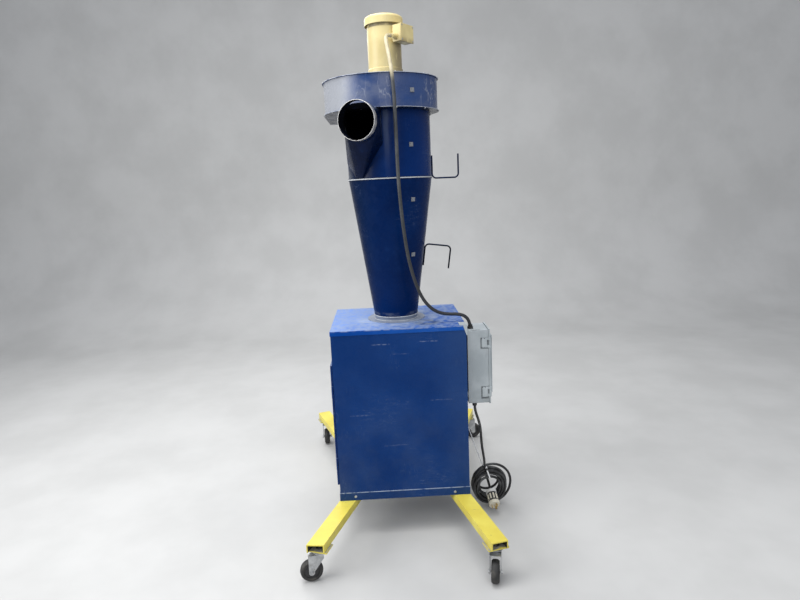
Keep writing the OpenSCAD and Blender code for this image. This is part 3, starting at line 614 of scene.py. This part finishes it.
def cord_curve(name, pts, radius, mat):
    cu = bpy.data.curves.new(name, "CURVE")
    cu.dimensions = "3D"
    cu.bevel_depth = radius
    cu.bevel_resolution = 5
    cu.use_fill_caps = True
    sp = cu.splines.new("POLY")
    sp.points.add(len(pts) - 1)
    for q, p in zip(sp.points, pts):
        q.co = (p.x, p.y, p.z, 1.0)
    sp.use_smooth = True
    cu.materials.append(M[mat])
    return link(bpy.data.objects.new(name, cu))


def length_of(pts):
    return sum((b - a).length for a, b in zip(pts, pts[1:]))


# ------------------------------------------------------------------ cords
LEAD = [(27, -118, 2378), (10, -142, 2376), (4, -176, 2352), (10, -226, 2296), (18, -270, 2230), (23, -289, 2165),
        (27, -292, 2090), (28, -288, 2000), (29, -282, 1900), (30, -275, 1800), (33, -266, 1700), (39, -257, 1600),
        (48, -247, 1500), (61, -236, 1400), (81, -224, 1305), (107, -213, 1225), (140, -203, 1163), (185, -194, 1120),
        (236, -186, 1102), (286, -180, 1099), (322, -174, 1090), (344, -170, 1068), (352, -168, 1036)]
SUPPLY = [(363, -190, 638), (365, -190, 606), (379, -185, 566), (390, -176, 522), (396, -162, 470), (402, -140, 412),
          (412, -114, 352), (421, -92, 304)]
CORD_D = 0.013
LEAD_D = 0.016


def even(pts, step):
    """The same path with points a fixed step apart."""
    out = [pts[0]]
    need = step
    for a, b in zip(pts, pts[1:]):
        d = (b - a).length
        at = 0.0
        while d - at >= need:
            at += need
            out.append(a + (b - a) * (at / d))
            need = step
        need -= d - at
    out.append(pts[-1])
    return out


def relax(pts, n):
    """Rounds off the joins, with both ends left where they are."""
    for _ in range(n):
        q = [p.copy() for p in pts]
        for i in range(1, len(pts) - 1):
            q[i] = pts[i] * 0.5 + (pts[i - 1] + pts[i + 1]) * 0.25
        pts = q
    return pts


lead_pts = relax(even(spline_points([W(*p) for p in LEAD], 10), 0.008), 10)
lead = cord_curve("motor_lead_jacket", lead_pts, LEAD_D / 2, "lead")
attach(lead, "frame")
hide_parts("motor_lead")

COIL_C = W(466, -45, 136)
COIL_YAW = math.radians(8)
COIL_X = Vector((math.cos(COIL_YAW), math.sin(COIL_YAW), 0))
COIL_N = Vector((math.sin(COIL_YAW), -math.cos(COIL_YAW), 0))
COIL_Z = Vector((0, 0, 1))


def coil_at(ang, r, n, dx=0.0, dz=0.0):
    """A point of the coil: angle from +X towards up, radius and offset along its axis, in mm."""
    a = math.radians(ang)
    return COIL_C + (COIL_X * (math.cos(a) * r + dx) + COIL_Z * (math.sin(a) * r + dz) + COIL_N * n) / 1000.0


def coil_points():
    """Nine uneven turns in three layers; each change of layer is made in a short arc."""
    rows = [(90.5, 13.5, -15, -6), (77, 13.5, -15, -6), (60, 13.5, -12, -6), (65, 0, -17, 9), (80.5, 0, -15, 7), (94, 0, -14, 6),
            (109, -13.5, 3, 0), (84, -13.5, -7, 0), (69.5, -13.5, -8, 1), (69.5, -13.5, -8, 1)]
    pts = []
    start = 100.0
    per = 60
    for i in range(9 * per - 17):
        k = i / per
        j = min(int(k), len(rows) - 2)
        f = min(1.0, max(0.0, (k - j - 0.62) / 0.38))
        f = f * f * (3 - 2 * f)
        a, b = rows[j], rows[j + 1]
        r, n, dx, dz = (a[m] * (1 - f) + b[m] * f for m in range(4))
        ang = start - 360.0 * k
        sag = 2.0 * math.sin(math.radians(ang * 2 + 200)) + 1.2 * math.sin(math.radians(ang * 3))
        pts.append(coil_at(ang, r + sag, n, dx, dz))
    return pts


coil_pts = coil_points()
supply_pts = spline_points([W(*p) for p in SUPPLY] + [coil_pts[0], coil_pts[8]], 8)[:-9]
PLUG_AT = W(456.5, -75, 111.5)
PLUG_DIR = (W(464, -154, 65.5) - PLUG_AT).normalized()
tail_in = PLUG_AT - PLUG_DIR * 0.010
last = coil_pts[-1]
back = [coil_at(172 - 24 * k, 69.5 - 0.3 * k, -13.5 - 5.6 * k, -8, 1) for k in range(2, 15)]
tail = spline_points([coil_pts[-9], last] + back + [coil_at(172, 62, -106, -8, 1), coil_at(128, 47, -112), coil_at(108, 33, -86), PLUG_AT - PLUG_DIR * 0.075,
                      PLUG_AT - PLUG_DIR * 0.040, tail_in], 10)[10:]
all_pts = relax(even(supply_pts + coil_pts[:-1] + tail, 0.006), 22)
cord = cord_curve("supply_cord_jacket", all_pts, CORD_D / 2, "cord")
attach(cord, "frame")
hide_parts("supply_cord", "cord_coil")
print("lead", length_of(lead_pts), "cord", length_of(all_pts))

# ------------------------------------------------------------------ carried-over nodes
LOOK = {
    "leg_front_left": "yellow", "leg_front_right": "yellow", "leg_rear_left": "yellow", "leg_rear_right": "yellow",
    "caster_plates": "zinc", "fork_fl": "zinc", "fork_fr": "zinc", "fork_rl": "zinc", "fork_rr": "zinc",
    "base_pan": "pan", "front_panel": "front", "back_panel": "blue", "right_panel": "blue", "left_panel": "blue",
    "cabinet_lid": "lid", "dust_door": "blue", "door_hinges": "blue", "door_latches": "zinc",
    "cone_collar": "collar", "cone": "cone", "joint_ring": "disc", "barrel": "barrel", "inlet_pipe": "bare",
    "inlet_transition": "duct", "fan_floor": "fan_under", "fan_scroll": "fan", "fan_cover": "fan_top",
    "motor_frame": "cream", "motor_cowl": "cream", "junction_box": "cream", "motor_gland": "cream",
    "hook_upper": "duct", "hook_lower": "duct", "tie_mounts": "mount",
    "enclosure_box": "grey", "enclosure_door": "grey", "enclosure_bracket": "grey", "enclosure_glands": "black_plastic",
    "coil_tie": "rope", "plug": "black_plastic",
}
for n, m in LOOK.items():
    set_mats(NODES[n], m)
    w = 0.0008
    if n.startswith("leg"):
        w = 0.002
    if n in ("fan_floor", "fan_cover"):
        w = 0.0009
    if n in ("motor_frame", "motor_cowl", "cone", "barrel", "cone_collar", "joint_ring", "inlet_pipe", "inlet_transition", "hook_upper", "hook_lower", "tie_mounts", "coil_tie"):
        w = 0.0005
    if n == "junction_box":
        w = 0.004
    soften(NODES[n], w)


def wheel_mats(node, centre, axis):
    ob = NODES[node]
    set_mats(ob, "tyre", "hub")
    for p in ob.data.polygons:
        d = p.center - centre
        r = (d - axis * d.dot(axis)).length
        p.material_index = 0 if r > 0.0325 else 1
    soften(ob, 0.0006)


for j in frame["joints"]:
    if j["name"].startswith("roll_"):
        wheel_mats("wheel_" + j["name"][-2:], Vector(j["pos_m"]), Vector(j["axis"]))


def two_mats(node, outer, inner, inside):
    """A second material on the faces for which inside(centre, normal) is true."""
    ob = NODES[node]
    set_mats(ob, outer, inner)
    for p in ob.data.polygons:
        p.material_index = 1 if inside(p.center, p.normal) else 0


LEGS = {"leg_front_left": ((-177, 50), (-406, -625)), "leg_front_right": ((206, 50), (387, -679)),
        "leg_rear_left": ((-177, 50), (-510, 958)), "leg_rear_right": ((206, 50), (470, 884))}


def channel_inside(apex, tip):
    a, b = W(apex[0], apex[1], 0), W(tip[0], tip[1], 0)
    u = (b - a).normalized()
    v = Vector((-u.y, u.x, 0.0))

    def test(c, n):
        if c.z > wz(204.0) or c.z < wz(162.5):
            return False
        s = (c - a).dot(v)
        if n.z < -0.6:
            return abs(s) < 0.020
        return n.dot(v) * s < -0.0001 and abs(n.dot(v)) > 0.6
    return test


# the inner faces of each channel get the painted shade
for k, (p0, p1) in LEGS.items():
    two_mats(k, "yellow", "channel", channel_inside(p0, p1))

MOUTH = W(-141.3, -325, 1996)
MOUTH_N = Vector((-math.sin(math.radians(20.6)), -math.cos(math.radians(20.6)), 0.0))


def inward(c, n):
    return n.x * (c.x - CX) + n.y * (c.y - CY) < -0.02


def in_pipe(c, n):
    d = c - MOUTH
    d = d - MOUTH_N * d.dot(MOUTH_N)
    return n.dot(d) < -0.02


AIRWAY = W(-128, -215, 1950)
two_mats("barrel", "barrel", "inside", inward)
two_mats("cone", "cone", "inside", inward)
two_mats("inlet_pipe", "bare", "inside", in_pipe)
two_mats("inlet_transition", "duct", "inside", lambda c, n: n.dot(c - AIRWAY) < 0.0)
set_mats(NODES["plug"], "black_plastic", "nylon", "face", "brass")
for p in NODES["plug"].data.polygons:
    d = p.center - PLUG_AT
    h = d.dot(PLUG_DIR) * 1000.0
    r = (d - PLUG_DIR * d.dot(PLUG_DIR)).length * 1000.0
    if 0.5 < h < 16.5 and r > 2.0:
        p.material_index = 1
    elif 63.5 < h < 82.5 and not (h < 64.2 and r < 24):
        p.material_index = 2
    elif h >= 82.5:
        p.material_index = 3


# ------------------------------------------------------------------ small pieces
def lathe(bm, prof, at, axis, sides, phase=0.0, wob=0.0, rng=None, mat=0):
    """Turns (radius, height) pairs in mm round axis at a point."""
    axis = axis.normalized()
    u = axis.orthogonal().normalized()
    v = axis.cross(u)
    rings = []
    for r, h in prof:
        if r <= 0:
            rings.append([bm.verts.new(at + axis * (h / 1000.0))])
            continue
        ring = []
        for k in range(sides):
            a = 2 * math.pi * k / sides + phase
            rr = r * (1 + (rng.uniform(-wob, wob) if wob else 0.0))
            ring.append(bm.verts.new(at + (u * math.cos(a) + v * math.sin(a)) * (rr / 1000.0) + axis * (h / 1000.0)))
        rings.append(ring)
    for a, b in zip(rings, rings[1:]):
        for k in range(sides):
            m = (k + 1) % sides
            if len(a) == 1 and len(b) == 1:
                continue
            if len(a) == 1:
                f = bm.faces.new((a[0], b[k], b[m]))
            elif len(b) == 1:
                f = bm.faces.new((a[k], b[0], a[m]))
            else:
                f = bm.faces.new((a[k], b[k], b[m], a[m]))
            f.material_index = mat


def hex_bolt(bm, at, axis, r=5.0, h=4.0, phase=0.0):
    lathe(bm, [(0, 0.0), (r * 1.45, 0.0), (r * 1.45, 0.8), (r * 1.38, 1.0), (0, 1.0)], at, axis, 20)
    lathe(bm, [(0, 0.9), (r, 0.9), (r, h * 0.82), (r * 0.86, h), (0, h)], at, axis, 6, phase)


def round_screw(bm, at, axis, r=3.5, h=2.0):
    lathe(bm, [(0, 0.0), (r, 0.0), (r * 0.98, h * 0.45), (r * 0.75, h * 0.85), (r * 0.35, h), (r * 0.30, h * 0.7), (0, h * 0.7)], at, axis, 18)


def sheet_block(bm, lo, hi, edge, mat=0):
    """A flat stamping between two corners in mm, its outer face (low y) drawn in by edge."""
    back = [(lo[0], hi[1], lo[2]), (hi[0], hi[1], lo[2]), (hi[0], hi[1], hi[2]), (lo[0], hi[1], hi[2])]
    mid = [(x, lo[1] + edge, z) for x, y, z in back]
    sx, sz = (1, -1, -1, 1), (1, 1, -1, -1)
    front = [(p[0] + edge * sx[k], lo[1], p[2] + edge * sz[k]) for k, p in enumerate(back)]
    rings = [[bm.verts.new(W(*q)) for q in ring] for ring in (back, mid, front)]
    for a, b in zip(rings, rings[1:]):
        for k in range(4):
            m = (k + 1) % 4
            bm.faces.new((a[k], a[m], b[m], b[k])).material_index = mat
    bm.faces.new(rings[0][::-1]).material_index = mat
    bm.faces.new(rings[-1]).material_index = mat


def weld_ring(bm, r, z, size, rng, n=180):
    """A rippled bead right round the cyclone's axis."""
    rings = []
    for k in range(n):
        a = 2 * math.pi * k / n
        s2 = size * (1 + 0.16 * math.sin(k * 1.7) + rng.uniform(-0.12, 0.12))
        d = Vector((math.cos(a), math.sin(a), 0))
        ring = []
        for q in range(8):
            b = 2 * math.pi * q / 8
            ring.append(bm.verts.new(W(0, 0, z) + d * ((r + s2 * math.cos(b)) / 1000.0) + Vector((0, 0, s2 * math.sin(b) / 1000.0))))
        rings.append(ring)
    for i in range(n):
        a, b = rings[i], rings[(i + 1) % n]
        for q in range(8):
            m = (q + 1) % 8
            bm.faces.new((a[q], b[q], b[m], a[m]))


def finish_group(name, bm, mats, body, angle=35):
    bmesh.ops.recalc_face_normals(bm, faces=bm.faces[:])
    ob = new_mesh(name, bm, mats)
    ob.data.set_sharp_from_angle(angle=math.radians(angle))
    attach(ob, body)
    return ob


def scroll_at(a):
    return 207.0 + 30.0 * a / 90.0


def small_pieces():
    rng = random.Random(7)
    bm = bmesh.new()
    for x, z in ((-242, 225), (247, 222)):
        hex_bolt(bm, W(x, -264.5, z), Vector((0, -1, 0)), 4.6, 4.2, rng.uniform(0, 1))
        hex_bolt(bm, W(x, 264.5, z), Vector((0, 1, 0)), 4.6, 4.2, rng.uniform(0, 1))
    for y in (-196, 200):
        hex_bolt(bm, W(322.5, y, 224), Vector((1, 0, 0)), 4.6, 4.2, rng.uniform(0, 1))
        hex_bolt(bm, W(-319.5, y, 224), Vector((-1, 0, 0)), 4.6, 4.2, rng.uniform(0, 1))
    finish_group("pan_bolts", bm, ["zinc"], "frame")

    bm = bmesh.new()
    for a in (-12, 28, 66, 104, 140, 172, 205, 240, 262):
        r = scroll_at(a) + 3.6
        p = Vector((r * math.sin(math.radians(a)), r * math.cos(math.radians(a)), 0))
        lathe(bm, [(0, 0.0), (3.1, 0.0), (3.1, 2.6), (2.6, 3.2), (1.7, 3.2), (1.7, 5.2), (0, 5.4)], W(p.x, p.y, 2053), Vector((0, 0, -1)), 6, rng.uniform(0, 1))
        lathe(bm, [(0, 0.0), (3.2, 0.0), (3.2, 2.0), (2.6, 2.6), (0, 2.6)], W(p.x, p.y, 2199), Vector((0, 0, 1)), 6, rng.uniform(0, 1))
    finish_group("scroll_bolts", bm, ["zinc"], "frame")

    bm = bmesh.new()
    for a in (45, 135, 225, 315):
        c, q = math.cos(math.radians(a)), math.sin(math.radians(a))
        hex_bolt(bm, W(93 * c, 93 * q, 2199), Vector((0, 0, 1)), 6.0, 5.6, rng.uniform(0, 1))
    finish_group("motor_bolts", bm, ["zinc"], "frame")

    # screws of the junction box's cover
    bm = bmesh.new()
    rot = rotz(-38).to_3x3()
    out = rot @ Vector((1, 0, 0))
    for y in (-41, 41):
        for z in (2363, 2424):
            q = rot @ Vector((134, y, 0))
            round_screw(bm, W(q.x, q.y, z), out, 3.6, 2.2)
    finish_group("junction_screws", bm, ["zinc"], "frame")

    bm = bmesh.new()
    weld_ring(bm, 110.6, 1081.2, 1.9, rng)
    weld_ring(bm, 108.6, 1062.4, 1.6, rng)
    finish_group("collar_welds", bm, ["disc"], "frame", 60)
    bm = bmesh.new()
    weld_ring(bm, 202.6, 1754.2, 1.5, rng, 260)
    weld_ring(bm, 202.4, 1745.6, 1.5, rng, 260)
    weld_ring(bm, 202.8, 2051.6, 1.5, rng, 260)
    finish_group("barrel_welds", bm, ["cone"], "frame", 60)

    # quarter-turn latches on the enclosure's door
    bm = bmesh.new()
    for z in (735, 940):
        lathe(bm, [(0, 0), (8, 0), (8, 1.6), (6.8, 2.4), (3.2, 2.4), (3.2, 1.5), (0, 1.5)], W(439, -66, z), Vector((1, 0, 0)), 24)
    finish_group("enclosure_latches", bm, ["zinc"], "enclosure_door")

    # stamped hinge leaves on the enclosure's front, with a screw above and below each
    bm = bmesh.new()
    for z0, z1 in ((930, 985), (679, 742)):
        # the outer plate carries the painted shade, the raised centre the grey
        sheet_block(bm, (393, -217.6, z0), (429.5, -216.0, z1), 0.7)
        sheet_block(bm, (398, -219.6, z0 + 9), (424, -217.6, z1 - 9), 1.0, 1)
        for z in (z0 + 4.5, z1 - 4.5):
            round_screw(bm, W(412, -217.6, z), Vector((0, -1, 0)), 3.2, 1.6)
    finish_group("enclosure_hinge_leaves", bm, ["leaf", "grey"], "frame", 25)

    # moulded ribs along the plug's body
    bm = bmesh.new()
    u = PLUG_DIR.orthogonal().normalized()
    v = PLUG_DIR.cross(u)
    for k in range(9):
        a = 2 * math.pi * (k + 0.35) / 9
        d = u * math.cos(a) + v * math.sin(a)
        e = PLUG_DIR.cross(d)
        prof = [(-4.2, 23.0), (-3.4, 25.8), (-1.6, 26.6), (1.6, 26.6), (3.4, 25.8), (4.2, 23.0)]
        rings = []
        for h in (22.0, 24.5, 50.0, 53.0):
            drop = 2.2 if h in (22.0, 53.0) else 0.0
            rings.append([bm.verts.new(PLUG_AT + (PLUG_DIR * h + e * q + d * (r - (drop if r > 24 else 0.0))) / 1000.0) for q, r in prof])
        for a0, b0 in zip(rings, rings[1:]):
            for q in range(len(prof)):
                m = (q + 1) % len(prof)
                bm.faces.new((a0[q], b0[q], b0[m], a0[m]))
        bm.faces.new(rings[0][::-1])
        bm.faces.new(rings[-1])
    finish_group("plug_ribs", bm, ["face"], "frame", 25)

    # heads of the rivets on the dust door's hinges
    bm = bmesh.new()
    for z in (400, 765):
        for dz in (-9, 9):
            lathe(bm, [(0, 0.0), (2.6, 0.0), (2.3, 0.9), (1.4, 1.5), (0, 1.7)], W(-327.5, -244, z + dz), Vector((-1, 0, 0)), 14)
    finish_group("door_rivets", bm, ["blue"], "dust_door")


small_pieces()


# ------------------------------------------------------------------ stage
def stage():
    t = Tree("floor_pale")
    n = t.noise(1.5, 4.0, 0.6)
    col = t.mix(t.ramp(n, 0.3, 0.7), (0.50, 0.50, 0.49), (0.56, 0.56, 0.55))
    M["floor"] = t.finish(col, 0.6, 0.0, t.bump(t.noise(90.0, 3.0), 0.05, 0.001))
    bm = bmesh.new()
    prof = [(-9.0, 0.0)] + [(3.5, 0.0)]
    prof += [(3.5 + 1.6 * math.sin(math.radians(a)), 1.6 - 1.6 * math.cos(math.radians(a))) for a in range(10, 91, 10)]
    prof += [(5.1, 7.0)]
    rows = []
    for x in (-9.0, 9.0):
        rows.append([bm.verts.new((x, y, z)) for y, z in prof])
    for i in range(len(prof) - 1):
        bm.faces.new((rows[0][i], rows[1][i], rows[1][i + 1], rows[0][i + 1]))
    ob = new_mesh("floor", bm, ["floor"])


stage()


def area(name, loc, target, size, power, color=(1, 1, 1), size_y=None):
    li = bpy.data.lights.new(name, "AREA")
    li.energy = power
    li.color = color
    li.shape = "RECTANGLE"
    li.size = size
    li.size_y = size_y or size
    ob = link(bpy.data.objects.new(name, li))
    ob.location = loc
    d = Vector(target) - Vector(loc)
    ob.rotation_euler = d.to_track_quat("-Z", "Y").to_euler()
    return ob


area("overhead", (-0.6, -0.6, 4.6), (0, 0, 1.0), 3.0, 130.0)
area("left_soft", (-3.6, -1.6, 2.6), (0, 0, 1.5), 2.4, 95.0)
area("front_soft", (0.8, -4.6, 3.4), (0, 0, 1.0), 2.6, 58.0)
area("back_rim", (-1.4, 3.0, 4.2), (0, 0, 1.4), 2.6, 90.0)
world = bpy.data.worlds.new("world")
bpy.context.scene.world = world
world.use_nodes = True
world.node_tree.nodes["Background"].inputs[0].default_value = (0.9, 0.93, 1.0, 1.0)
world.node_tree.nodes["Background"].inputs[1].default_value = 0.55
bpy.context.scene.view_settings.view_transform = "Standard"
